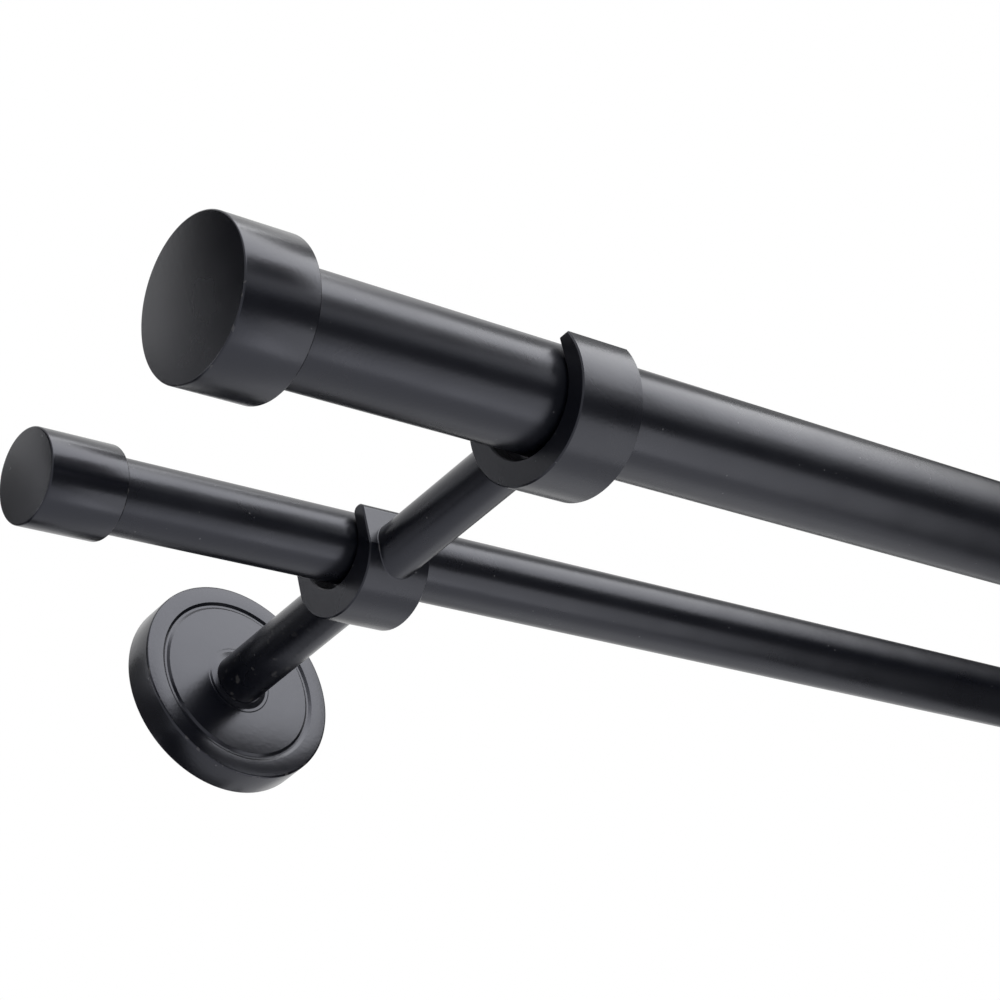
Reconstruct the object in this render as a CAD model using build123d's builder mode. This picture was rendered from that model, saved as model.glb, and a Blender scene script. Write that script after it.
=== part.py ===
"""Double curtain pole: two poles carried side by side by two wall brackets.

The frame: +X along the poles, +Y into the wall, +Z up. The origin is the middle of the
left bracket's wall plate, on the wall's face and on the axis of the bracket's arms.
All sizes are in millimetres.
"""

import os
from math import sqrt
from types import SimpleNamespace

from build123d import *

# Where the poles and brackets stand
bracket_spacing = 1000.0
front_reach = 145.0
rear_reach = 68.0
front_rise = 3.7
rear_rise = 6.6

# Poles: round tubes
front_pole_radius = 14.0
rear_pole_radius = 9.5
tube_wall = 1.2

# End caps: turned cylinders with a blind bore that grips the tube
front_cap_radius = 19.5
rear_cap_radius = 11.9
front_cap_length = 20.2
rear_cap_length = 21.2
front_overhang = 105.5
rear_overhang = 100.2
cap_face = 5.0
cap_fit = 0.08
cap_end_gap = 0.2
cap_edge = 0.5

# Cups: a land in the middle carries the pole, and both mouths are relieved behind and below it
cup_width = 19.5
seat_gap = 0.15
mouth_depth = 4.5
mouth_relief = 1.2
mouth_step = 0.1
cup_shift = 1.35
cup_edge = 0.35

front_cup_radius = 20.6
front_cup_drop = 1.25
front_lip = 7.3
front_lip_round = 0.4

rear_cup_radius = 15.45
rear_cup_drop = 3.2
rear_cup_half_width = 15.05
rear_lip = 5.4
rear_lip_round = 1.9

# Arms: round rods, coped where they meet a cup
arm_radius = 7.0
arm_joint_gap = 0.05
arm_end_chamfer = 0.4

# Countersunk screws that draw the arms to the cups from inside the bores
screw_radius = 2.0
screw_head_radius = 3.8
screw_length = 16.0
screw_clearance = 0.2
screw_sink = 0.3
screw_socket = 2.5
screw_socket_depth = 1.5
socket_sides = 6
countersink_angle = 90.0
tapped_gap = 0.05
tapped_spare = 1.0

# Rose: a shallow cover with a ring groove and a low collar round the arm
rose_radius = 29.1
rose_depth = 9.3
rose_face = 2.2
rose_rim = 2.4
rose_edge = 0.6
groove_outer_radius = 23.7
groove_width = 2.0
groove_depth = 1.0
groove_edge = 0.3
collar_radius = 9.2
collar_height = 0.5
collar_edge = 0.35

# Wall plate: a disc with a tapped boss and two countersunk holes, one above the other
plate_radius = 23.0
plate_thickness = 3.0
plate_edge = 0.5
boss_radius = 8.0
boss_gap = 0.05
plate_hole_radius = 2.3
plate_hole_sink_radius = 4.4
plate_hole_spacing = 32.0

# Studs that hold the rear arms to the wall plates, through the roses
stud_radius = 3.0
stud_in_arm = 12.0
stud_from_wall = 1.2
stud_end_gap = 0.3
stud_clearance = 0.3
stud_chamfer = 0.5

# Derived places
front_pole_y = -front_reach
rear_pole_y = -rear_reach
rose_front_y = -rose_depth
collar_front_y = rose_front_y - collar_height
head_height = screw_head_radius - screw_radius
arm_back_y = collar_front_y - arm_joint_gap
brackets = {"left": 0.0, "right": bracket_spacing}

front_line = SimpleNamespace(
    y=front_pole_y,
    z=front_rise,
    pole_radius=front_pole_radius,
    cap_radius=front_cap_radius,
    cap_length=front_cap_length,
    overhang=front_overhang,
    cup_radius=front_cup_radius,
    cup_drop=front_cup_drop,
    half_width=front_cup_radius,
    lip=front_lip,
    lip_round=front_lip_round,
)
rear_line = SimpleNamespace(
    y=rear_pole_y,
    z=rear_rise,
    pole_radius=rear_pole_radius,
    cap_radius=rear_cap_radius,
    cap_length=rear_cap_length,
    overhang=rear_overhang,
    cup_radius=rear_cup_radius,
    cup_drop=rear_cup_drop,
    half_width=rear_cup_half_width,
    lip=rear_lip,
    lip_round=rear_lip_round,
)


def seat_radius(line):
    """The land's radius round the pole's axis."""
    return line.pole_radius + seat_gap


def across(x, line):
    """The plane across a pole at x: its x is +Y, its y is +Z, its middle the pole's axis."""
    return Plane(origin=(x, line.y, line.z), x_dir=(0, 1, 0), z_dir=(1, 0, 0))


def along_arm(x, y, facing):
    """A plane square to the arms' axis that faces +Y or -Y."""
    return Plane(origin=(x, y, 0), x_dir=(1, 0, 0), z_dir=(0, facing, 0))


def cup_outline(line, grow=0.0):
    """The cup's filled outside, level at the lips, drawn in the open sketch."""
    straight_from = -line.cup_drop - sqrt(line.cup_radius**2 - line.half_width**2)
    with Locations((cup_shift, -line.cup_drop)):
        Circle(line.cup_radius + grow)
    if line.half_width < line.cup_radius:
        with Locations((cup_shift, straight_from)):
            Rectangle(
                2 * (line.half_width + grow),
                line.lip - straight_from,
                align=(Align.CENTER, Align.MIN),
            )
        for side in (-1, 1):
            with Locations((cup_shift + side * (line.half_width + grow), straight_from)):
                Rectangle(
                    line.cup_radius,
                    line.cup_radius,
                    align=(Align.MIN if side > 0 else Align.MAX, Align.MIN),
                    mode=Mode.SUBTRACT,
                )
    with Locations((cup_shift, line.lip)):
        Rectangle(
            2 * (line.cup_radius + grow),
            line.cup_radius + line.cup_drop,
            align=(Align.CENTER, Align.MIN),
            mode=Mode.SUBTRACT,
        )


def open_bore(line, radius, shift=0.0):
    """A round bore with straight walls up out of the cup, cut from the open sketch."""
    with Locations((shift, 0)):
        Circle(radius, mode=Mode.SUBTRACT)
        Rectangle(
            2 * radius,
            line.lip + line.cup_radius,
            align=(Align.CENTER, Align.MIN),
            mode=Mode.SUBTRACT,
        )


def screw_heads(line):
    """Distances in Y from the pole's axis to the heads' tops, and the way each screw points."""
    reach = seat_radius(line) + screw_sink
    return {"rear": (line.y + reach, 1), "front": (line.y - reach, -1)}


def make_cup(name, x, line, walls):
    """An open cup: land in the middle, relieved mouths, and a sunk hole in each screwed wall."""
    land = cup_width / 2 - mouth_depth
    mouth_radius = line.pole_radius + mouth_relief
    mouth_shift = mouth_radius - seat_radius(line) - mouth_step
    with BuildPart() as cup:
        with BuildSketch(across(x - land, line)) as section:
            cup_outline(line)
            open_bore(line, seat_radius(line))
            fillet(section.vertices().group_by(Axis.Y)[-1], radius=line.lip_round)
        extrude(amount=2 * land)
        for start in (x - cup_width / 2, x + land):
            with BuildSketch(across(start, line)) as mouth:
                cup_outline(line)
                open_bore(line, mouth_radius, mouth_shift)
                fillet(mouth.vertices().group_by(Axis.Y)[-1], radius=line.lip_round)
            extrude(amount=mouth_depth)
        ends = cup.faces().filter_by(Axis.X).group_by(Axis.X)
        chamfer(ends[0].edges() + ends[-1].edges(), length=cup_edge)
        for wall in walls:
            head_y, facing = screw_heads(line)[wall]
            with Locations(along_arm(x, head_y, -facing)):
                CounterSinkHole(
                    radius=screw_radius + screw_clearance,
                    counter_sink_radius=screw_head_radius + screw_clearance,
                    depth=line.cup_radius,
                    counter_sink_angle=countersink_angle,
                )
    cup.part.label = name
    export_step(cup.part, f"parts/{name}.step")


def arm_end_hole(x, head_y, facing):
    """The tapped hole that a cup screw reaches in an arm, drilled from the screw's side."""
    tip = screw_length + tapped_spare
    with Locations(along_arm(x, head_y, -facing)):
        Hole(radius=screw_radius + tapped_gap, depth=tip)


def cope(x, line):
    """Cuts the cup's outside, with the joint's gap, from the open part."""
    with BuildSketch(across(x, line)) as outside:
        cup_outline(line, grow=arm_joint_gap)
    extrude(outside.sketch, amount=2 * arm_radius, both=True, mode=Mode.SUBTRACT)


def make_front_arm(name, x):
    """The rod between the two cups, coped at both ends."""
    with BuildPart() as arm:
        with BuildSketch(along_arm(x, front_line.y, 1)):
            Circle(arm_radius)
        extrude(amount=rear_line.y - front_line.y)
        for line, wall in ((front_line, "rear"), (rear_line, "front")):
            cope(x, line)
            arm_end_hole(x, *screw_heads(line)[wall])
    arm.part.label = name
    export_step(arm.part, f"parts/{name}.step")


def make_rear_arm(name, x):
    """The rod between the rose and the rear cup, square at the rose and tapped for the stud."""
    with BuildPart() as arm:
        with BuildSketch(along_arm(x, arm_back_y, -1)):
            Circle(arm_radius)
        extrude(amount=arm_back_y - rear_line.y)
        chamfer(arm.edges().group_by(Axis.Y)[-1], length=arm_end_chamfer)
        cope(x, rear_line)
        arm_end_hole(x, *screw_heads(rear_line)["rear"])
        with Locations(along_arm(x, arm_back_y, 1)):
            Hole(radius=stud_radius + tapped_gap, depth=stud_in_arm + stud_end_gap)
    arm.part.label = name
    export_step(arm.part, f"parts/{name}.step")


def make_rose(name, x):
    """The cover: a turned shell with a ring groove and a low collar, open towards the wall."""
    with BuildPart() as rose:
        with BuildSketch(along_arm(x, 0, -1)):
            Circle(rose_radius)
        extrude(amount=rose_depth)
        chamfer(rose.edges().group_by(Axis.Y)[0], length=rose_edge)
        with BuildSketch(along_arm(x, 0, -1)):
            Circle(rose_radius - rose_rim)
        extrude(amount=rose_depth - rose_face, mode=Mode.SUBTRACT)
        with BuildSketch(along_arm(x, rose_front_y, 1)):
            Circle(groove_outer_radius)
            Circle(groove_outer_radius - groove_width, mode=Mode.SUBTRACT)
        extrude(amount=groove_depth, mode=Mode.SUBTRACT)
        front = rose.faces().filter_by(Axis.Y).group_by(Axis.Y)[0]
        brinks = front.edges().sort_by(SortBy.RADIUS)[:2]
        chamfer(brinks, length=groove_edge)
        with BuildSketch(along_arm(x, rose_front_y, -1)):
            Circle(collar_radius)
        extrude(amount=collar_height)
        chamfer(rose.edges().group_by(Axis.Y)[0], length=collar_edge)
        with Locations(along_arm(x, collar_front_y, -1)):
            Hole(radius=stud_radius + stud_clearance)
    rose.part.label = name
    export_step(rose.part, f"parts/{name}.step")


def make_wall_plate(name, x):
    """The hidden plate: screwed to the wall, with a boss that backs the rose and takes the stud."""
    boss_front = rose_depth - rose_face - boss_gap
    with BuildPart() as plate:
        with BuildSketch(along_arm(x, 0, -1)):
            Circle(plate_radius)
        extrude(amount=plate_thickness)
        chamfer(plate.edges().group_by(Axis.Y)[0], length=plate_edge)
        with BuildSketch(along_arm(x, -plate_thickness, -1)):
            Circle(boss_radius)
        extrude(amount=boss_front - plate_thickness)
        with Locations(along_arm(x, -boss_front, -1)):
            Hole(radius=stud_radius + tapped_gap, depth=boss_front - stud_from_wall)
        with Locations(along_arm(x, -plate_thickness, -1)):
            with GridLocations(0, plate_hole_spacing, 1, 2):
                CounterSinkHole(
                    radius=plate_hole_radius,
                    counter_sink_radius=plate_hole_sink_radius,
                    counter_sink_angle=countersink_angle,
                )
    plate.part.label = name
    export_step(plate.part, f"parts/{name}.step")


def make_studs(name):
    """One stud for each bracket, from the plate's boss through the rose into the rear arm."""
    front_end = arm_back_y - stud_in_arm
    back_end = -stud_from_wall - stud_end_gap
    with BuildPart() as studs:
        for x in brackets.values():
            with BuildSketch(along_arm(x, front_end, 1)):
                Circle(stud_radius)
            extrude(amount=back_end - front_end)
        tips = studs.edges().group_by(Axis.Y)
        chamfer(tips[0] + tips[-1], length=stud_chamfer)
    studs.part.label = name
    export_step(studs.part, f"parts/{name}.step")


def make_cup_screws(name):
    """Six alike countersunk screws with hexagon sockets, three for each bracket."""
    places = [
        (x, *screw_heads(line)[wall])
        for x in brackets.values()
        for line, wall in ((front_line, "rear"), (rear_line, "front"), (rear_line, "rear"))
    ]
    with BuildPart() as screws:
        for x, head_y, facing in places:
            head = along_arm(x, head_y, facing)
            with BuildSketch(head):
                Circle(screw_head_radius)
            extrude(amount=head_height, taper=countersink_angle / 2)
            with BuildSketch(head.offset(head_height)):
                Circle(screw_radius)
            extrude(amount=screw_length - head_height)
            with BuildSketch(head):
                RegularPolygon(radius=screw_socket / 2, side_count=socket_sides, major_radius=False)
            extrude(amount=screw_socket_depth, mode=Mode.SUBTRACT)
    screws.part.label = name
    export_step(screws.part, f"parts/{name}.step")


def make_pole(name, line):
    """A round tube that ends inside both caps."""
    start = cap_face + cap_end_gap - line.overhang
    length = bracket_spacing - 2 * start
    with BuildPart() as pole:
        with BuildSketch(across(start, line)):
            Circle(line.pole_radius)
            Circle(line.pole_radius - tube_wall, mode=Mode.SUBTRACT)
        extrude(amount=length)
    pole.part.label = name
    export_step(pole.part, f"parts/{name}.step")


def make_cap(name, face_x, inward, line):
    """A flat-ended cap: inward is the way along X from its face to its bore."""
    face = Plane(origin=(face_x, line.y, line.z), x_dir=(0, 1, 0), z_dir=(inward, 0, 0))
    with BuildPart() as cap:
        with BuildSketch(face):
            Circle(line.cap_radius)
        extrude(amount=line.cap_length)
        chamfer(cap.edges().filter_by(GeomType.CIRCLE), length=cap_edge)
        with BuildSketch(face.offset(cap_face)):
            Circle(line.pole_radius + cap_fit)
        extrude(amount=line.cap_length - cap_face, mode=Mode.SUBTRACT)
    cap.part.label = name
    export_step(cap.part, f"parts/{name}.step")


os.makedirs("parts", exist_ok=True)

for side, bracket_x in brackets.items():
    make_wall_plate(f"{side}_wall_plate", bracket_x)
    make_rose(f"{side}_rose", bracket_x)
    make_rear_arm(f"{side}_rear_arm", bracket_x)
    make_cup(f"{side}_rear_cup", bracket_x, rear_line, ("front", "rear"))
    make_front_arm(f"{side}_front_arm", bracket_x)
    make_cup(f"{side}_front_cup", bracket_x, front_line, ("rear",))

make_studs("arm_studs")
make_cup_screws("cup_screws")

for row, pole_line in (("front", front_line), ("rear", rear_line)):
    make_pole(f"{row}_pole", pole_line)
    make_cap(f"{row}_left_cap", -pole_line.overhang, 1, pole_line)
    make_cap(f"{row}_right_cap", bracket_spacing + pole_line.overhang, -1, pole_line)
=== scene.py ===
# %% [markdown]
# # A double curtain pole in satin black
# Two round poles lie side by side in open cups. Short round arms carry the cups from a rose,
# the round cover on the wall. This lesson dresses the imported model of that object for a
# picture. The model gives every size and place, so the pieces made here are measured from it.

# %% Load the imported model
import math

import bmesh
import bpy
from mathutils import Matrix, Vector


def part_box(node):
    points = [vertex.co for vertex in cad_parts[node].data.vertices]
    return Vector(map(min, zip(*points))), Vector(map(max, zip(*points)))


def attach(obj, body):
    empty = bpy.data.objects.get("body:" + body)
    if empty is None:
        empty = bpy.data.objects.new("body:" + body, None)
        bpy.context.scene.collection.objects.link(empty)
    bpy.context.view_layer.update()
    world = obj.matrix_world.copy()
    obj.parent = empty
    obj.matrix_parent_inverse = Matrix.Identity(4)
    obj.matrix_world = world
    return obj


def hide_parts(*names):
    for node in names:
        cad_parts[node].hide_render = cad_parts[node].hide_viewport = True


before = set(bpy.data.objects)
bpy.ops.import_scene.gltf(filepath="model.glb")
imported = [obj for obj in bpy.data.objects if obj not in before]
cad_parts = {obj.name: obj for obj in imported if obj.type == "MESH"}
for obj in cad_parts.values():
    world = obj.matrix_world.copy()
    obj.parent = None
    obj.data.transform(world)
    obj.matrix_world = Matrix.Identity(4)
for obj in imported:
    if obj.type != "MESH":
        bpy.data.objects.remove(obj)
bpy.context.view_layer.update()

# %% [markdown]
# The script works in metres, as Blender does, but the pieces are small, so their sizes are
# easier to read in millimetres. One factor turns them into metres.

# %% Name the unit and the pieces
mm = 0.001
sides = ("left", "right")
rows = ("front", "rear")


def middle(node):
    """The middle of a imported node's box."""
    low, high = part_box(node)
    return (low + high) / 2


def size(node):
    """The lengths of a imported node's box along X, Y and Z."""
    low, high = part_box(node)
    return high - low


print("pole diameters:", [round(size(f"{row}_pole").z / mm, 2) for row in rows])

# %% [markdown]
# ## The camera
# The photograph looks up at the left bracket from below, with the poles running away to the
# right. A long lens close to the object gives the strong narrowing of the poles. The place
# and the two directions came from fitting the photograph's circles and edges, so the camera
# is set by a matrix made from them and needs no shift.

# %% Set the camera
camera_place = Vector((-0.387302, -0.483822, -0.315402))
look_along = Vector((0.630547, 0.593435, 0.500245)).normalized()
picture_up = Vector((-0.191813, -0.505383, 0.841306)).normalized()
lens_mm = 91.0597
sensor_mm = 36.0
nearest_seen = 0.01
farthest_seen = 50.0


def new_object(name, data):
    """An object that holds the data and lies in the scene."""
    made = bpy.data.objects.new(name, data)
    bpy.context.scene.collection.objects.link(made)
    return made


def place_by_axes(thing, axes, place):
    """Sets an object at a place, with its own X, Y and Z along the three axes."""
    turned = thing.matrix_world.copy()
    for column, axis in enumerate(axes):
        for line in range(3):
            turned[line][column] = axis[line]
    turned.translation = place
    thing.matrix_world = turned


def make_camera():
    """A camera at the photograph's place."""
    data = bpy.data.cameras.new("photo_camera")
    data.lens = lens_mm
    data.sensor_width = sensor_mm
    data.clip_start = nearest_seen
    data.clip_end = farthest_seen
    camera = new_object("photo_camera", data)
    right = look_along.cross(picture_up)
    place_by_axes(camera, (right, picture_up, -look_along), camera_place)
    return camera


bpy.context.scene.camera = make_camera()
bpy.context.scene.view_settings.view_transform = "Standard"
print("camera at", tuple(camera_place), "with a lens of", lens_mm, "mm")

# %% [markdown]
# ## Helpers for nodes
# Shaders and Geometry Nodes are both trees of nodes. One helper adds a node, sets its
# options, and either fills a socket with a value or links it to another node's output.


# %% Add nodes and sockets to a tree
def add_node(tree, kind, inputs=None, **options):
    """A new node: inputs maps socket names or numbers to values or to other nodes' outputs."""
    node = tree.nodes.new(kind)
    for option, value in options.items():
        setattr(node, option, value)
    for socket, value in (inputs or {}).items():
        if isinstance(value, bpy.types.NodeSocket):
            tree.links.new(value, node.inputs[socket])
        else:
            node.inputs[socket].default_value = value
    return node


def add_socket(tree, name, kind, value=None, out=False):
    """A named input or output on a node group's interface."""
    socket = tree.interface.new_socket(
        name=name, in_out="OUTPUT" if out else "INPUT", socket_type="NodeSocket" + kind
    )
    if value is not None:
        socket.default_value = value
    return socket


def math_node(tree, operation, first, second=0.0):
    """The output of a Math node in a shader or geometry tree."""
    node = add_node(tree, "ShaderNodeMath", {0: first, 1: second}, operation=operation)
    return node.outputs[0]


print("helpers:", [helper.__name__ for helper in (add_node, add_socket, math_node)])

# %% [markdown]
# ## Shared surface effects
# Powder coat is not a flat colour. It has a fine pebbled skin over slow waves, slow changes of
# gloss where it lies thicker, dust that settled on it, and small chips along its edges. Each
# effect is one shader node group, so that every coated piece can use it with its own values.
# The skin comes from three noise textures: pebbles and waves give heights, and clouds say
# where the coat is thick.


# %% Make the pebbled skin of the coat
def coat_skin_group():
    """Fine pebbles and slow waves as heights, and clouds of thicker coat as a mask."""
    group = bpy.data.node_groups.new("coat_skin", "ShaderNodeTree")
    add_socket(group, "Vector", "Vector")
    add_socket(group, "Pebbles per Metre", "Float", 900.0)
    add_socket(group, "Clouds per Metre", "Float", 45.0)
    add_socket(group, "Waves per Metre", "Float", 75.0)
    add_socket(group, "Height", "Float", out=True)
    add_socket(group, "Clouds", "Float", out=True)
    add_socket(group, "Waves", "Float", out=True)
    entry = add_node(group, "NodeGroupInput")
    leave = add_node(group, "NodeGroupOutput")
    pebbles = add_node(
        group,
        "ShaderNodeTexNoise",
        {"Vector": entry.outputs[0], "Scale": entry.outputs[1], "Detail": 2.0, "Roughness": 0.45},
    )
    clouds = add_node(
        group,
        "ShaderNodeTexNoise",
        {"Vector": entry.outputs[0], "Scale": entry.outputs[2], "Detail": 4.0, "Roughness": 0.55},
    )
    waves = add_node(
        group,
        "ShaderNodeTexNoise",
        {"Vector": entry.outputs[0], "Scale": entry.outputs[3], "Detail": 0.0},
    )
    group.links.new(pebbles.outputs[0], leave.inputs[0])
    group.links.new(clouds.outputs[0], leave.inputs[1])
    group.links.new(waves.outputs[0], leave.inputs[2])
    return group


coat_skin = coat_skin_group()
print("shader group:", coat_skin.name)


# %% [markdown]
# Dust settles on a coat as pale specks of mixed size. A Voronoi texture cuts space into cells
# with one speck each, and the cell's random colour says how large its speck is and whether it
# is there at all.


# %% Make the settled dust
def dust_group():
    """Sparse pale specks of mixed size, as a mask from 0 to 1."""
    group = bpy.data.node_groups.new("settled_dust", "ShaderNodeTree")
    add_socket(group, "Vector", "Vector")
    add_socket(group, "Specks per Metre", "Float", 350.0)
    add_socket(group, "Speck Size", "Float", 0.1)
    add_socket(group, "Amount", "Float", 0.4)
    add_socket(group, "Dust", "Float", out=True)
    entry = add_node(group, "NodeGroupInput")
    leave = add_node(group, "NodeGroupOutput")
    cells = add_node(
        group,
        "ShaderNodeTexVoronoi",
        {"Vector": entry.outputs[0], "Scale": entry.outputs[1], "Randomness": 1.0},
        feature="F1",
    )
    chance = add_node(group, "ShaderNodeSeparateColor", {0: cells.outputs["Color"]})
    reach = math_node(group, "MULTIPLY", entry.outputs[2], chance.outputs[0])
    inside = math_node(group, "LESS_THAN", cells.outputs["Distance"], reach)
    chosen = math_node(group, "LESS_THAN", chance.outputs[1], entry.outputs[3])
    group.links.new(math_node(group, "MULTIPLY", inside, chosen), leave.inputs[0])
    return group


settled_dust = dust_group()
print("shader group:", settled_dust.name)


# %% [markdown]
# A coat chips first along edges, where things knock against it. Every turned piece and every
# arm carries an attribute that is 1 on its small rounds and 0 elsewhere, so that a noise
# texture gives chips only there.

# %% Make the chips along worn edges
edge_mark = "edge"


def chip_group():
    """Small chips where the piece's edge attribute is set, as a mask from 0 to 1."""
    group = bpy.data.node_groups.new("edge_chips", "ShaderNodeTree")
    add_socket(group, "Vector", "Vector")
    add_socket(group, "Chips per Metre", "Float", 420.0)
    add_socket(group, "Rarity", "Float", 0.66)
    add_socket(group, "Chips", "Float", out=True)
    entry = add_node(group, "NodeGroupInput")
    leave = add_node(group, "NodeGroupOutput")
    spots = add_node(
        group,
        "ShaderNodeTexNoise",
        {"Vector": entry.outputs[0], "Scale": entry.outputs[1], "Detail": 1.0},
    )
    edge = add_node(group, "ShaderNodeAttribute", attribute_name=edge_mark).outputs["Fac"]
    chosen = math_node(group, "GREATER_THAN", spots.outputs[0], entry.outputs[2])
    group.links.new(math_node(group, "MULTIPLY", chosen, edge), leave.inputs[0])
    return group


edge_chips = chip_group()
print("shader group:", edge_chips.name)

# %% [markdown]
# ## The black coat
# The poles, caps, cups, arms and roses share one satin black powder coat. The tube, the turned
# pieces and the cups take it a little differently, so the material is made by a function with
# a few named differences: how rough the coat is, how strong its pebbled skin is, how wavy it
# lies and how much dust sits on it. Where the coat lies thicker it is a little less dark.

# %% Make the coated materials
coat_darkness = 0.0013
thin_share, thick_share = 0.8, 1.2
cloud_low, cloud_high = 0.3, 0.7
gloss_spread = 0.03
coat_tint = (0.60, 0.80, 1.90)
gloss_tint = (0.86, 0.88, 1.0, 1.0)
dust_colour = (0.05, 0.05, 0.052, 1.0)
chip_colour = (0.03, 0.029, 0.028, 1.0)
pebble_height = 0.02 * mm
wave_height = 0.12 * mm


def new_material(name):
    """A material with its tree of nodes and its shader."""
    material = bpy.data.materials.new(name)
    material.use_nodes = True
    tree = material.node_tree
    return material, tree, tree.nodes["Principled BSDF"]


def mixed_colour(tree, share, first, second):
    """The mix of two colours. A Mix node has sockets 6 and 7 in and 2 out for colours."""
    node = add_node(tree, "ShaderNodeMix", {0: share, 6: first, 7: second}, data_type="RGBA")
    return node.outputs[2]


def coat_black(share):
    """The coat's tinted black, made lighter or darker by a share."""
    return tuple(coat_darkness * share * tint for tint in coat_tint) + (1.0,)


def coated_metal(name, roughness, skin, waviness, dust):
    """Satin black powder coat. Skin, waviness and dust are strengths from 0 to 1."""
    material, tree, shader = new_material(name)
    place = add_node(tree, "ShaderNodeTexCoord").outputs["Object"]
    coat = add_node(tree, "ShaderNodeGroup", {"Vector": place}, node_tree=coat_skin)
    chips = add_node(tree, "ShaderNodeGroup", {"Vector": place}, node_tree=edge_chips)
    specks = add_node(
        tree, "ShaderNodeGroup", {"Vector": place, "Amount": dust}, node_tree=settled_dust
    )
    black = mixed_colour(
        tree, coat.outputs["Clouds"], coat_black(thin_share), coat_black(thick_share)
    )
    dusty = mixed_colour(tree, specks.outputs["Dust"], black, dust_colour)
    worn = mixed_colour(tree, chips.outputs["Chips"], dusty, chip_colour)
    gloss = add_node(
        tree,
        "ShaderNodeMapRange",
        {
            "Value": coat.outputs["Clouds"],
            "From Min": cloud_low,
            "From Max": cloud_high,
            "To Min": roughness - gloss_spread,
            "To Max": roughness + gloss_spread,
        },
    )
    waves = add_node(
        tree,
        "ShaderNodeBump",
        {"Height": coat.outputs["Waves"], "Distance": wave_height, "Strength": waviness},
    )
    pebbles = add_node(
        tree,
        "ShaderNodeBump",
        {
            "Height": coat.outputs["Height"],
            "Distance": pebble_height,
            "Strength": skin,
            "Normal": waves.outputs[0],
        },
    )
    shader.inputs["Specular Tint"].default_value = gloss_tint
    tree.links.new(worn, shader.inputs["Base Color"])
    tree.links.new(gloss.outputs[0], shader.inputs["Roughness"])
    tree.links.new(pebbles.outputs[0], shader.inputs["Normal"])
    return material


pole_coat = coated_metal("pole_coat", roughness=0.29, skin=0.9, waviness=1.0, dust=0.4)
cap_coat = coated_metal("cap_coat", roughness=0.25, skin=0.8, waviness=0.3, dust=0.2)
cup_coat = coated_metal("cup_coat", roughness=0.28, skin=1.0, waviness=0.5, dust=0.3)
arm_coat = coated_metal("arm_coat", roughness=0.28, skin=0.8, waviness=0.5, dust=0.1)
rose_coat = coated_metal("rose_coat", roughness=0.24, skin=0.9, waviness=0.5, dust=0.2)
print("coats:", [material.name for material in (pole_coat, cap_coat, cup_coat, arm_coat, rose_coat)])


# %% [markdown]
# The wall plates, screws and studs are steel with bright zinc. Zinc shows faint crystals, so
# the coat's clouds, made finer, change its grey and its gloss.

# %% Make the zinc of the hidden steel
crystals_per_metre = 120.0
dark_zinc, pale_zinc = (0.50, 0.51, 0.53, 1.0), (0.66, 0.66, 0.65, 1.0)
bright_roughness, dull_roughness = 0.22, 0.42


def zinc_plate():
    """Bright zinc on steel."""
    material, tree, shader = new_material("zinc_plate")
    place = add_node(tree, "ShaderNodeTexCoord").outputs["Object"]
    crystals = add_node(
        tree,
        "ShaderNodeGroup",
        {"Vector": place, "Clouds per Metre": crystals_per_metre},
        node_tree=coat_skin,
    ).outputs["Clouds"]
    gloss = add_node(
        tree,
        "ShaderNodeMapRange",
        {"Value": crystals, "To Min": bright_roughness, "To Max": dull_roughness},
    )
    shader.inputs["Metallic"].default_value = 1.0
    tree.links.new(mixed_colour(tree, crystals, dark_zinc, pale_zinc), shader.inputs["Base Color"])
    tree.links.new(gloss.outputs[0], shader.inputs["Roughness"])
    return material


zinc = zinc_plate()
print("plated:", zinc.name)

# %% [markdown]
# ## Turned pieces
# A lathe makes the caps, the roses and the screws: a tool follows an outline while the work
# turns. One tree of Geometry Nodes does the same. It takes an outline as a row of points,
# each with a distance along the axis and a radius, and carries it round the axis in steps.
# Where a point is marked as thread its radius rises and falls once in each pitch, and where it
# is marked as hexagon its radius follows the flats of a six-sided socket. The turned shape is
# then put on every point of a second mesh, so six screws come from one outline.

# %% Build the tree that turns an outline
thread_mark = "thread"
hexagon_mark = "hexagon"
turn_mark = "turn"
full_turn = 2 * math.pi
flat_angle = math.pi / 3
sharp_from = math.radians(32)
merge_distance = 0.002 * mm


def sampled(tree, source, value, index, data_type):
    """A value read from the source mesh's point with the given number."""
    node = add_node(tree, "GeometryNodeSampleIndex", domain="POINT", data_type=data_type)
    tree.links.new(source, node.inputs["Geometry"])
    tree.links.new(value, node.inputs["Value"])
    tree.links.new(index, node.inputs["Index"])
    return node.outputs["Value"]


def marked(tree, name, data_type="FLOAT"):
    """A named attribute's value."""
    node = add_node(tree, "GeometryNodeInputNamedAttribute", data_type=data_type)
    node.inputs["Name"].default_value = name
    return node.outputs["Attribute"]


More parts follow.
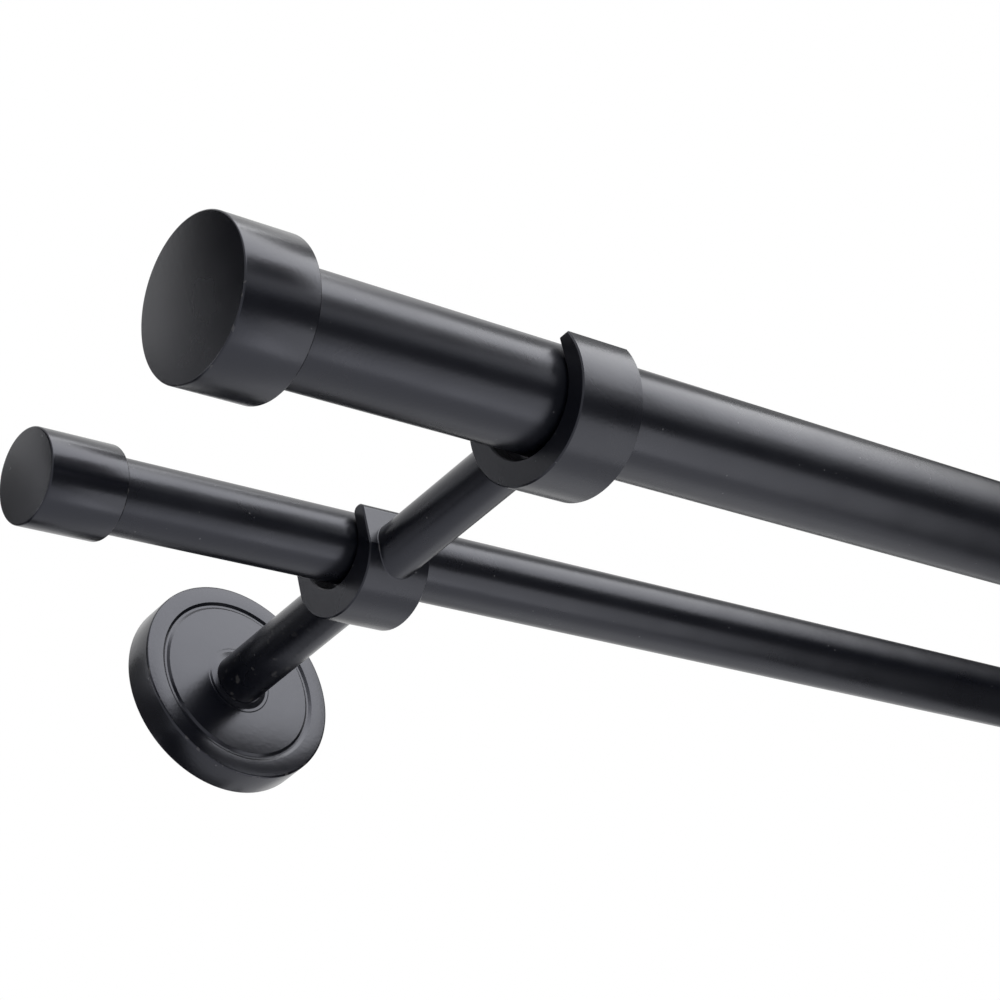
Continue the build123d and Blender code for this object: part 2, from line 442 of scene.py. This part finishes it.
def turned_tree():
    """The lathe: Profile is carried round the axis and set on every point of Places."""
    tree = bpy.data.node_groups.new("turned_piece", "GeometryNodeTree")
    add_socket(tree, "Profile", "Geometry")
    add_socket(tree, "Places", "Object")
    add_socket(tree, "Steps", "Int", 96)
    add_socket(tree, "Thread Pitch", "Float", 1.0 * mm)
    add_socket(tree, "Thread Depth", "Float", 0.0)
    add_socket(tree, "Material", "Material")
    add_socket(tree, "Geometry", "Geometry", out=True)
    entry = add_node(tree, "NodeGroupInput").outputs
    steps = entry["Steps"]

    # A flat grid has one column for each turn and one point in it for each outline point.
    counted = add_node(tree, "GeometryNodeAttributeDomainSize", component="MESH")
    tree.links.new(entry["Profile"], counted.inputs["Geometry"])
    count = counted.outputs["Point Count"]
    grid = add_node(
        tree,
        "GeometryNodeMeshGrid",
        {"Vertices X": math_node(tree, "ADD", steps, 1.0), "Vertices Y": count},
    )
    number = add_node(tree, "GeometryNodeInputIndex").outputs[0]
    turn = math_node(tree, "FLOOR", math_node(tree, "DIVIDE", number, count))
    point = math_node(tree, "MODULO", number, count)
    share = math_node(tree, "DIVIDE", turn, steps)
    angle = math_node(tree, "MULTIPLY", share, full_turn)

    # Each grid point reads its outline point: distance along the axis, radius and marks.
    here = add_node(tree, "GeometryNodeInputPosition").outputs[0]
    outline = add_node(
        tree,
        "ShaderNodeSeparateXYZ",
        {0: sampled(tree, entry["Profile"], here, point, "FLOAT_VECTOR")},
    )
    along, radius = outline.outputs[0], outline.outputs[1]
    thread = sampled(tree, entry["Profile"], marked(tree, thread_mark), point, "FLOAT")
    hexagon = sampled(tree, entry["Profile"], marked(tree, hexagon_mark), point, "FLOAT")
    edge = sampled(tree, entry["Profile"], marked(tree, edge_mark), point, "FLOAT")

    # The thread's wave goes from 0 to 1 and back in one pitch, and climbs one pitch a turn.
    wave = math_node(tree, "DIVIDE", along, entry["Thread Pitch"])
    wave = math_node(tree, "PINGPONG", math_node(tree, "SUBTRACT", wave, share), 0.5)
    dip = math_node(tree, "MULTIPLY", math_node(tree, "MULTIPLY", wave, 2.0), thread)
    dip = math_node(tree, "MULTIPLY", dip, entry["Thread Depth"])
    # Away from the middle of a flat, a hexagon's side lies further out than its flat.
    off_flat = math_node(tree, "MODULO", angle, flat_angle)
    off_flat = math_node(tree, "SUBTRACT", off_flat, flat_angle / 2)
    corner = math_node(tree, "DIVIDE", 1.0, math_node(tree, "COSINE", off_flat))
    corner = math_node(tree, "MULTIPLY", math_node(tree, "SUBTRACT", corner, 1.0), hexagon)
    radius = math_node(tree, "SUBTRACT", radius, dip)
    radius = math_node(tree, "MULTIPLY", radius, math_node(tree, "ADD", corner, 1.0))
    place = add_node(
        tree,
        "ShaderNodeCombineXYZ",
        {
            0: math_node(tree, "MULTIPLY", radius, math_node(tree, "COSINE", angle)),
            1: math_node(tree, "MULTIPLY", radius, math_node(tree, "SINE", angle)),
            2: along,
        },
    ).outputs[0]

    # The grid is carried to its places, closed along its seam and smoothed between edges.
    carried = add_node(
        tree, "GeometryNodeSetPosition", {"Geometry": grid.outputs["Mesh"], "Position": place}
    )
    edged = add_node(
        tree,
        "GeometryNodeStoreNamedAttribute",
        {"Geometry": carried.outputs[0], "Name": edge_mark, "Value": edge},
        data_type="FLOAT",
        domain="POINT",
    )
    closed = add_node(
        tree,
        "GeometryNodeMergeByDistance",
        {"Geometry": edged.outputs[0], "Distance": merge_distance},
    )
    bend = add_node(tree, "GeometryNodeInputMeshEdgeAngle").outputs["Unsigned Angle"]
    smooth = add_node(
        tree, "GeometryNodeSetShadeSmooth", {"Geometry": closed.outputs[0]}, domain="FACE"
    )
    crisp = add_node(
        tree,
        "GeometryNodeSetShadeSmooth",
        {
            "Geometry": smooth.outputs[0],
            "Selection": math_node(tree, "GREATER_THAN", bend, sharp_from),
            "Shade Smooth": False,
        },
        domain="EDGE",
    )

    # A copy of the piece goes to every point of Places, turned as the point says.
    places = add_node(tree, "GeometryNodeObjectInfo", {"Object": entry["Places"]})
    facing = add_node(
        tree, "FunctionNodeEulerToRotation", {0: marked(tree, turn_mark, "FLOAT_VECTOR")}
    )
    copies = add_node(
        tree,
        "GeometryNodeInstanceOnPoints",
        {
            "Points": places.outputs["Geometry"],
            "Instance": crisp.outputs[0],
            "Rotation": facing.outputs[0],
        },
    )
    real = add_node(tree, "GeometryNodeRealizeInstances", {"Geometry": copies.outputs[0]})
    finished = add_node(
        tree,
        "GeometryNodeSetMaterial",
        {"Geometry": real.outputs[0], "Material": entry["Material"]},
    )
    add_node(tree, "NodeGroupOutput", {0: finished.outputs[0]})
    return tree


lathe = turned_tree()
print("lathe inputs:", [item.name for item in lathe.interface.items_tree if item.in_out == "INPUT"])

# %% [markdown]
# An outline is written as corners, each with a distance along the axis, a radius and a
# rounding. Real edges are never quite sharp: the tool leaves a small round, and the coat
# softens it. Those rounds catch the thin bright lines that the photograph shows.

# %% Round an outline and turn it
arc_steps = 5


def rounded(corners):
    """An outline in millimetres with an arc at each rounded corner, and the marks of its edges."""
    points, edges = [], []
    for index, (along, radius, rounding) in enumerate(corners):
        corner = Vector((along, radius))
        if rounding == 0:
            points.append(corner)
            edges.append(0.0)
            continue
        before = (Vector(corners[index - 1][:2]) - corner).normalized()
        after = (Vector(corners[index + 1][:2]) - corner).normalized()
        half = before.angle(after) / 2
        centre = corner + (before + after).normalized() * rounding / math.sin(half)
        start = (corner + before * rounding / math.tan(half) - centre).normalized()
        end = (corner + after * rounding / math.tan(half) - centre).normalized()
        for step in range(arc_steps + 1):
            points.append(centre + start.slerp(end, step / arc_steps) * rounding)
            edges.append(0.0 if step in (0, arc_steps) else 1.0)
    return points, {edge_mark: edges}


def mesh_of_points(name, points, marks, kind, joined):
    """A mesh of points, joined in a row or loose, that carries marks as attributes."""
    mesh = bpy.data.meshes.new(name)
    pairs = [(index, index + 1) for index in range(len(points) - 1)] if joined else []
    mesh.from_pydata(points, pairs, [])
    for mark, values in marks.items():
        layer = mesh.attributes.new(mark, kind, "POINT")
        for item, value in zip(layer.data, values):
            if kind == "FLOAT":
                item.value = value
            else:
                item.vector = value
    return mesh


def turn_on_lathe(name, outline, places, material, steps, marks, pitch=1.0, depth=0.0):
    """A plain mesh object: the outline in millimetres, turned and set on every place."""
    none = [0.0] * len(outline)
    marks = {thread_mark: none, hexagon_mark: none, edge_mark: none, **marks}
    points = [(along * mm, radius * mm, 0.0) for along, radius in outline]
    profile = mesh_of_points(name + "_outline", points, marks, "FLOAT", joined=True)
    spots = mesh_of_points(
        name + "_places",
        [place for place, turn in places],
        {turn_mark: [turn for place, turn in places]},
        "FLOAT_VECTOR",
        joined=False,
    )
    piece = new_object(name, profile)
    holder = new_object(name + "_places", spots)
    modifier = piece.modifiers.new("lathe", "NODES")
    modifier.node_group = lathe
    values = {
        "Places": holder,
        "Steps": steps,
        "Thread Pitch": pitch * mm,
        "Thread Depth": depth * mm,
        "Material": material,
    }
    for item in lathe.interface.items_tree:
        if item.name in values:
            modifier[item.identifier] = values[item.name]
    ready = piece.evaluated_get(bpy.context.evaluated_depsgraph_get())
    turned = bpy.data.meshes.new_from_object(ready)
    piece.modifiers.clear()
    piece.data = turned
    bpy.data.objects.remove(holder)
    face_outward(turned)
    return piece


def face_outward(mesh):
    """Turns every face of a closed mesh outward."""
    work = bmesh.new()
    work.from_mesh(mesh)
    bmesh.ops.recalc_face_normals(work, faces=work.faces)
    work.to_mesh(mesh)
    work.free()


def finish_piece(piece, node):
    """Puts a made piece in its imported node's place and compares their boxes."""
    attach(piece, "root")
    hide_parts(node)
    low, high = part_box(node)
    corners = [Vector(corner) for corner in piece.bound_box]
    gap = max((corners[0] - low).length, (corners[6] - high).length) / mm
    print(f"{piece.name}: {len(piece.data.polygons)} faces, box off the node's by {gap:.2f} mm")


along_x = (0.0, math.pi / 2, 0.0)
against_x = (0.0, -math.pi / 2, 0.0)
into_wall = (-math.pi / 2, 0.0, 0.0)
out_of_wall = (math.pi / 2, 0.0, 0.0)
print("an outline's rounded corner has", arc_steps + 1, "points")

# %% [markdown]
# The poles are welded steel tubes, cut square. Their ends lie inside the caps. Sizes in an
# outline are in millimetres, as a turner's drawing gives them.

# %% Turn the poles
tube_wall = 1.2
tube_edge = 0.2
fine_steps = 128


def tube_outline(length, radius):
    """A tube's section: outside, end, bore and other end, closed to a loop."""
    inside = radius - tube_wall
    return rounded(
        [
            (length / 2, radius, 0),
            (length, radius, tube_edge),
            (length, inside, tube_edge),
            (0, inside, tube_edge),
            (0, radius, tube_edge),
            (length / 2, radius, 0),
        ]
    )


for row in rows:
    node = f"{row}_pole"
    start = middle(node) - Vector((size(node).x / 2, 0.0, 0.0))
    outline, marks = tube_outline(size(node).x / mm, size(node).z / 2 / mm)
    places = [(start, along_x)]
    pole = turn_on_lathe(f"{row}_tube", outline, places, pole_coat, fine_steps, marks)
    finish_piece(pole, node)

# %% [markdown]
# Each cap is turned from a short bar: a flat face, a plain wall and a bore that grips the
# tube. The photograph shows a thin light line round the face, which is its small round.

# %% Turn the caps
cap_face = 5.0
cap_fit = 0.08
cap_round = 0.5


def cap_outline(length, radius, bore):
    """A cap's section from the middle of its face, round its wall and into its bore."""
    return rounded(
        [
            (0, 0, 0),
            (0, radius, cap_round),
            (length, radius, cap_round),
            (length, bore, cap_round / 2),
            (cap_face, bore, 0),
            (cap_face, 0, 0),
        ]
    )


for row in rows:
    bore = size(f"{row}_pole").z / 2 / mm + cap_fit
    for side, facing, sign in (("left", along_x, -1), ("right", against_x, 1)):
        node = f"{row}_{side}_cap"
        face = middle(node) + Vector((sign * size(node).x / 2, 0.0, 0.0))
        outline, marks = cap_outline(size(node).x / mm, size(node).z / 2 / mm, bore)
        name = f"{row}_{side}_turned_cap"
        cap = turn_on_lathe(name, outline, [(face, facing)], cap_coat, fine_steps, marks)
        finish_piece(cap, node)

# %% [markdown]
# The rose is a turned shell over the wall plate. Its front has a ring groove with two slopes
# and a narrow floor. One slope faces the middle and one faces outwards, so on each side of the
# rose another slope mirrors the dark room, and a dark line runs all the way round. A low soft
# collar with a very fine step lies round the arm's foot.

# %% Turn the roses
rose_wall = 2.4
rose_face = 2.2
rose_hole = 3.3
collar_height = 0.5
collar_top = 7.1
collar_foot = 8.7
collar_round = 2.0
step_height = 0.07
step_edge = 9.6
disc_edge = 22.0
disc_foot = 22.7
slope_foot = 23.3
groove_brink = 24.1
groove_depth = 0.5
fine_round = 0.15
rim_round = 0.6
rose_steps = 160


def rose_outline(depth, radius):
    """A rose's section: collar, disc, groove, rim, wall and hollow, closed to a loop."""
    front, floor = depth - collar_height, depth - collar_height - groove_depth
    return rounded(
        [
            (depth, rose_hole, 0),
            (depth, collar_top, collar_round),
            (front + step_height, collar_foot, collar_round / 4),
            (front + step_height, step_edge - fine_round, fine_round),
            (front, step_edge + fine_round, fine_round),
            (front, disc_edge, fine_round),
            (floor, disc_foot, fine_round / 2),
            (floor, slope_foot, fine_round / 2),
            (front, groove_brink, fine_round),
            (front, radius, rim_round),
            (0, radius, fine_round),
            (0, radius - rose_wall, fine_round),
            (front - rose_face, radius - rose_wall, fine_round),
            (front - rose_face, rose_hole, 0),
            (depth, rose_hole, 0),
        ]
    )


for side in sides:
    node = f"{side}_rose"
    foot = Vector((middle(node).x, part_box(node)[1].y, middle(node).z))
    outline, marks = rose_outline(size(node).y / mm, size(node).z / 2 / mm)
    name = f"{side}_turned_rose"
    rose = turn_on_lathe(name, outline, [(foot, out_of_wall)], rose_coat, rose_steps, marks)
    finish_piece(rose, node)

# %% [markdown]
# Each arm is a round rod whose end is coped: cut to the curve of the cup that it meets, so
# that it sits close all round. The powder coat gathers in the corner as a thin bead, and in
# the photograph this bead draws a bright line round the joint. The mesh is made of rings.
# Each ring has a radius and an inset from the end, and the end follows the cup's side.

# %% Find where the cups' sides are
rear_cup_round = 15.45 * mm
joint_gap = 0.05 * mm


def coped_end(side, row, sign):
    """A function for the end's place along Y at a height: sign is the way to the arm."""
    cup = f"{side}_{row}_cup"
    centre, half, foot = middle(cup).y, size(cup).y / 2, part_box(cup)[0].z
    radius = half if row == "front" else rear_cup_round
    flat_below = math.sqrt(radius**2 - half**2) if row == "rear" else -math.inf

    def place(height):
        below = foot + radius - height
        reach = half if below < flat_below else math.sqrt(radius**2 - below**2)
        return centre + sign * (reach + joint_gap)

    return place


print("left front arm starts at", round(coped_end("left", "front", 1)(0.0) / mm, 2), "mm")

# %% Make the arms
coat_bead = 0.3 * mm
arm_parts = 96
screw_bore = 2.05 * mm
stud_bore = 3.05 * mm
screw_bore_depth = 10.0 * mm
stud_bore_depth = 12.3 * mm
end_shares = (0.0, 0.35, 0.7)


def arm_rings(radius, end, inward, bore, bore_depth, bead):
    """Rings of (radius, place of a point at a height, edge mark), from the bore to the side."""

    def at_end(inset):
        return lambda height: end(height) + inward * inset

    bottom = end(0.0) + inward * bore_depth
    rings = [(0.0, lambda height: bottom, 0.0), (bore, lambda height: bottom, 0.0)]
    for share in end_shares:
        rings.append((bore + (radius - bore) * share, at_end(0.0), 0.0))
    for step in range(arc_steps + 1):
        turn = math.pi / 2 * step / arc_steps
        inset = bead * (1 - math.cos(turn))
        mark = 0.0 if step in (0, arc_steps) else 1.0
        rings.append((radius + bead * (1 - math.sin(turn)), at_end(inset), mark))
    return rings


def make_arm(name, node, front_rings, back_rings):
    """A closed arm between two sets of rings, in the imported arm's place."""
    centre = middle(node)
    rings = front_rings + back_rings[::-1]
    points, faces, edges = [], [], []
    for radius, place, mark in rings:
        for part in range(arm_parts):
            turn = full_turn * part / arm_parts
            height = radius * math.sin(turn)
            points.append((centre.x + radius * math.cos(turn), place(height), height))
            edges.append(mark)
    for ring in range(len(rings) - 1):
        for part in range(arm_parts):
            here, near = ring * arm_parts + part, ring * arm_parts + (part + 1) % arm_parts
            faces.append((here, near, near + arm_parts, here + arm_parts))
    mesh = bpy.data.meshes.new(name)
    mesh.from_pydata(points, [], faces)
    layer = mesh.attributes.new(edge_mark, "FLOAT", "POINT")
    for item, value in zip(layer.data, edges):
        item.value = value
    work = bmesh.new()
    work.from_mesh(mesh)
    bmesh.ops.remove_doubles(work, verts=work.verts, dist=merge_distance)
    work.to_mesh(mesh)
    work.free()
    face_outward(mesh)
    mesh.shade_smooth()
    mesh.set_sharp_from_angle(angle=sharp_from)
    mesh.materials.append(arm_coat)
    return new_object(name, mesh)


def arm_end_at_cup(side, row, sign, radius):
    """Rings of an arm's end at a cup, with its screw bore and the coat's bead."""
    end = coped_end(side, row, sign)
    return arm_rings(radius, end, sign, screw_bore, screw_bore_depth, coat_bead)


for side in sides:
    node = f"{side}_front_arm"
    radius = size(node).x / 2
    front = arm_end_at_cup(side, "front", 1, radius)
    back = arm_end_at_cup(side, "rear", -1, radius)
    finish_piece(make_arm(f"{side}_coped_front_arm", node, front, back), node)

    node = f"{side}_rear_arm"
    radius, foot = size(node).x / 2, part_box(node)[1].y
    front = arm_end_at_cup(side, "rear", 1, radius)
    back = arm_rings(radius, lambda height: foot, -1, stud_bore, stud_bore_depth, 0.0)
    finish_piece(make_arm(f"{side}_coped_rear_arm", node, front, back), node)

# %% [markdown]
# The cup screws and the studs are hidden when the set is whole, but they hold it together.
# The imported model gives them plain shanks, and the screws six-sided sockets for a key. Here
# they are turned anew with their threads. A node may hold several screws, so the script first
# finds each one's box.


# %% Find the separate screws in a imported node
def solids_of(node):
    """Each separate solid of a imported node: low and high corners and its far end's width."""
    work = bmesh.new()
    work.from_mesh(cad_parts[node].data)
    bmesh.ops.remove_doubles(work, verts=work.verts, dist=merge_distance)
    left = set(work.verts)
    boxes = []
    while left:
        found, waiting = set(), [left.pop()]
        while waiting:
            vertex = waiting.pop()
            found.add(vertex)
            near = {link.other_vert(vertex) for link in vertex.link_edges} & left
            left -= near
            waiting.extend(near)
        places = [vertex.co for vertex in found]
        low = Vector(min(place[axis] for place in places) for axis in range(3))
        high = Vector(max(place[axis] for place in places) for axis in range(3))
        tip = [place.x for place in places if place.y > high.y - merge_distance]
        boxes.append((low, high, max(tip) - min(tip)))
    work.free()
    return boxes


screw_boxes = solids_of("cup_screws")
stud_boxes = solids_of("arm_studs")
print("screws:", len(screw_boxes), "studs:", len(stud_boxes))

# %% Turn the screws and the studs
rows_per_pitch = 6
screw_pitch = 0.7
stud_pitch = 1.0
thread_share = 0.36
socket_flat = 1.25
socket_depth = 1.5
socket_cone = 0.4
head_land = 0.15
tip_chamfer = 0.5
shank_radius = 2.0
screw_steps = 36
whole_width = 0.9


def with_thread(before, after, start, end, radius, pitch):
    """An outline with a threaded run between its two plain parts, and its thread marks."""
    count = int((end - start) / pitch * rows_per_pitch)
    run = [(start + (end - start) * row / count, radius) for row in range(count + 1)]
    marks = [0.0] * len(before) + [0.0] + [1.0] * (count - 1) + [0.0] + [0.0] * len(after)
    return before + run + after, marks


def screw_outline(length, head, shank):
    """A countersunk socket screw's outline, with its thread and hexagon marks."""
    cone = head - shank
    before = [
        (socket_depth + socket_cone, 0.0),
        (socket_depth, socket_flat),
        (0.0, socket_flat),
        (0.0, head - head_land),
        (head_land, head - head_land / 2),
        (cone, shank),
    ]
    after = [(length, shank - tip_chamfer), (length, 0.0)]
    outline, thread = with_thread(
        before, after, cone + tip_chamfer, length - tip_chamfer, shank, screw_pitch
    )
    hexagon = [0.0, 1.0, 1.0] + [0.0] * (len(outline) - 3)
    return outline, {thread_mark: thread, hexagon_mark: hexagon}


def stud_outline(length, radius):
    """A stud threaded from end to end."""
    before = [(0.0, 0.0), (0.0, radius - tip_chamfer)]
    after = [(length, radius - tip_chamfer), (length, 0.0)]
    outline, thread = with_thread(
        before, after, tip_chamfer, length - tip_chamfer, radius, stud_pitch
    )
    return outline, {thread_mark: thread}


places = []
for low, high, far_width in screw_boxes:
    centre = (low + high) / 2
    head_far = far_width > (high.x - low.x) * whole_width
    end_y = high.y if head_far else low.y
    places.append((Vector((centre.x, end_y, centre.z)), out_of_wall if head_far else into_wall))
low, high = screw_boxes[0][:2]
outline, marks = screw_outline((high.y - low.y) / mm, (high.x - low.x) / 2 / mm, shank_radius)
screws = turn_on_lathe(
    "threaded_screws", outline, places, zinc, screw_steps, marks,
    screw_pitch, screw_pitch * thread_share,
)
finish_piece(screws, "cup_screws")

places = []
for low, high, _ in stud_boxes:
    centre = (low + high) / 2
    places.append((Vector((centre.x, low.y, centre.z)), into_wall))
low, high = stud_boxes[0][:2]
outline, marks = stud_outline((high.y - low.y) / mm, (high.x - low.x) / 2 / mm)
studs = turn_on_lathe(
    "threaded_studs", outline, places, zinc, screw_steps, marks,
    stud_pitch, stud_pitch * thread_share,
)
finish_piece(studs, "arm_studs")

# %% [markdown]
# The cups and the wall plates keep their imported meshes, because their open bores and sunk
# holes are already there. Only their materials change.


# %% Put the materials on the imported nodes
def dress(node, material):
    """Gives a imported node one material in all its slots."""
    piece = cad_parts[node]
    for slot in piece.material_slots:
        slot.material = material


for side in sides:
    for row in rows:
        dress(f"{side}_{row}_cup", cup_coat)
    dress(f"{side}_wall_plate", zinc)
print("dressed:", len(sides) * len(rows), "cups and", len(sides), "wall plates")

# %% [markdown]
# ## The studio
# A satin black object shows mostly what stands round it, so the bands along the poles tell
# where the photograph's lights and dark walls stood. A white world gives the ground to the
# eye and to the gloss, and a softer light to everything else.

# %% Make the world
white = (1.0, 1.0, 1.0, 1.0)
ground_light = 1.0
ambient_light = 0.8


def make_world():
    """White to the camera and in reflections, and a plain soft light elsewhere."""
    world = bpy.data.worlds.new("white_ground")
    world.use_nodes = True
    tree = world.node_tree
    tree.nodes.clear()
    path = add_node(tree, "ShaderNodeLightPath")
    seen = math_node(
        tree, "MAXIMUM", path.outputs["Is Camera Ray"], path.outputs["Is Glossy Ray"]
    )
    seen = math_node(tree, "MAXIMUM", seen, path.outputs["Is Transmission Ray"])
    soft = add_node(tree, "ShaderNodeBackground", {"Color": white, "Strength": ambient_light})
    ground = add_node(tree, "ShaderNodeBackground", {"Color": white, "Strength": ground_light})
    mixed = add_node(
        tree, "ShaderNodeMixShader", {0: seen, 1: soft.outputs[0], 2: ground.outputs[0]}
    )
    add_node(tree, "ShaderNodeOutputWorld", {0: mixed.outputs[0]})
    return world


bpy.context.scene.world = make_world()
print("ambient light:", ambient_light)

# %% [markdown]
# Four soft lights give the bright bands: a wide one high up in front, a low one, a narrow one
# at the wall's side and a weak one, which stands for light thrown back from below. Each is a
# rectangle that faces the bracket. Two angles and a distance place it, a roll turns it, and
# all of them came from a fit to the brightness of the bands. Sizes are in metres.

# %% Hang the soft lights
bracket_middle = Vector((0.0, -0.08, 0.0))


def round_the_bracket(azimuth, elevation, distance):
    """A point seen from the left bracket: azimuth 0 is into the wall and 90 along the poles."""
    turn, climb = math.radians(azimuth), math.radians(elevation)
    along, inward, upward = math.sin(turn), math.cos(turn), math.sin(climb)
    way = Vector((along * math.cos(climb), inward * math.cos(climb), upward))
    return bracket_middle + way * distance


def facing_frame(azimuth, elevation, roll):
    """Three axes of a sheet that faces the bracket: across it, up it and out of its back."""
    back = (round_the_bracket(azimuth, elevation, 1.0) - bracket_middle).normalized()
    across = Vector((0.0, 0.0, 1.0)).cross(back).normalized()
    upward = back.cross(across)
    turn = math.radians(roll)
    return (
        across * math.cos(turn) + upward * math.sin(turn),
        upward * math.cos(turn) - across * math.sin(turn),
        back,
    )


def soft_light(name, azimuth, elevation, width, height, glow, roll, distance):
    """A rectangular soft light whose face is as bright as glow, where 1 is white."""
    data = bpy.data.lights.new(name, "AREA")
    data.shape = "RECTANGLE"
    data.size = width
    data.size_y = height
    data.energy = glow * math.pi * width * height
    light = new_object(name, data)
    place = round_the_bracket(azimuth, elevation, distance)
    place_by_axes(light, facing_frame(azimuth, elevation, roll), place)
    light.visible_camera = False


soft_light("main_light", 156.5, 43.5, 1.165, 1.205, glow=3.51, roll=-16.7, distance=1.005)
soft_light("low_light", 129.0, -44.4, 0.427, 0.326, glow=1.87, roll=-51.3, distance=0.651)
soft_light("side_light", -54.4, 14.5, 0.742, 0.220, glow=3.24, roll=-59.6, distance=1.229)
soft_light("bounce_light", 52.6, -35.4, 0.216, 0.248, glow=0.29, roll=-63.6, distance=0.617)
print("lights, in watts:", {light.name: round(light.energy, 2) for light in bpy.data.lights})

# %% [markdown]
# The floor is a plain pale sheet, a little cool, as the photograph's shadows are. It lies
# lower than the camera, which looks up past it, and from below it is clear, so that the
# underside of the object can be looked at too.

# %% Lay the floor
floor_height = -0.75
floor_half = 8.0
floor_colour = (0.85, 0.855, 0.885, 1.0)
floor_roughness = 0.9


def flat_sheet(name, corners, material):
    """A four-cornered sheet that isn't part of the object."""
    mesh = bpy.data.meshes.new(name)
    mesh.from_pydata(corners, [], [(0, 1, 2, 3)])
    mesh.materials.append(material)
    sheet = new_object(name, mesh)
    return sheet


def floor_paint():
    """Pale paint above, and nothing when looked at from below."""
    material, tree, shader = new_material("floor_paint")
    shader.inputs["Base Color"].default_value = floor_colour
    shader.inputs["Roughness"].default_value = floor_roughness
    shader.inputs["Specular IOR Level"].default_value = 0.0
    clear = add_node(tree, "ShaderNodeBsdfTransparent")
    side = add_node(tree, "ShaderNodeNewGeometry").outputs["Backfacing"]
    mixed = add_node(
        tree, "ShaderNodeMixShader", {0: side, 1: shader.outputs[0], 2: clear.outputs[0]}
    )
    tree.links.new(mixed.outputs[0], tree.nodes["Material Output"].inputs["Surface"])
    return material


floor = flat_sheet(
    "floor",
    [
        (-floor_half, -floor_half, floor_height),
        (floor_half, -floor_half, floor_height),
        (floor_half, floor_half, floor_height),
        (-floor_half, floor_half, floor_height),
    ],
    floor_paint(),
)
print(floor.name, "at", floor_height, "m")

# %% [markdown]
# The dark bands come from dark cards, as a photographer sets them round a glossy black thing.
# The camera and the soft light don't see them, only the gloss does. Some have a level above
# zero, because the dark things in the photograph's room were grey and not black. They are
# placed as the lights are, and came from the same fit.


# %% Stand the dark cards
def card_paint(name, level):
    """Dull dark card that looks as bright as level, where 1 is white."""
    material, _, shader = new_material(name)
    shader.inputs["Base Color"].default_value = (0.0, 0.0, 0.0, 1.0)
    shader.inputs["Specular IOR Level"].default_value = 0.0
    shader.inputs["Roughness"].default_value = 1.0
    shader.inputs["Emission Color"].default_value = (level, level, level, 1.0)
    shader.inputs["Emission Strength"].default_value = 1.0
    return material


def stand_card(name, azimuth, elevation, width, height, level, roll, distance):
    """A dark card that faces the bracket. The camera doesn't see it."""
    centre = round_the_bracket(azimuth, elevation, distance)
    across, upward, back = facing_frame(azimuth, elevation, roll)
    across, upward = across * width / 2, upward * height / 2
    corners = [
        centre - across - upward,
        centre + across - upward,
        centre + across + upward,
        centre - across + upward,
    ]
    sheet = flat_sheet(name, corners, card_paint(name, level))
    sheet.visible_camera = False
    sheet.visible_diffuse = False
    sheet.visible_shadow = False


stand_card("front_card", 112.6, -22.2, 2.397, 0.884, level=0.10, roll=26.4, distance=0.799)
stand_card("right_card", 106.3, 18.4, 0.781, 0.238, level=0.01, roll=42.3, distance=0.701)
stand_card("upper_card", 99.5, 47.5, 0.676, 0.213, level=0.33, roll=-31.1, distance=0.750)
stand_card("rim_card", 29.6, -5.9, 0.113, 0.441, level=0.00, roll=-3.4, distance=0.826)
stand_card("back_card", -9.2, -32.0, 1.348, 0.430, level=0.00, roll=5.1, distance=1.127)
stand_card("left_top_card", -71.0, 33.7, 0.485, 0.498, level=0.00, roll=-4.2, distance=0.715)
stand_card("left_card", -36.2, 7.2, 0.988, 1.215, level=0.14, roll=59.9, distance=1.181)
stand_card("far_card", 75.9, 31.7, 0.312, 0.191, level=0.21, roll=3.8, distance=1.390)
stand_card("room_card", 158.1, 16.6, 0.253, 0.296, level=0.00, roll=-76.8, distance=0.766)
stand_card("end_card", 85.0, 37.2, 0.257, 0.258, level=0.07, roll=49.3, distance=1.457)
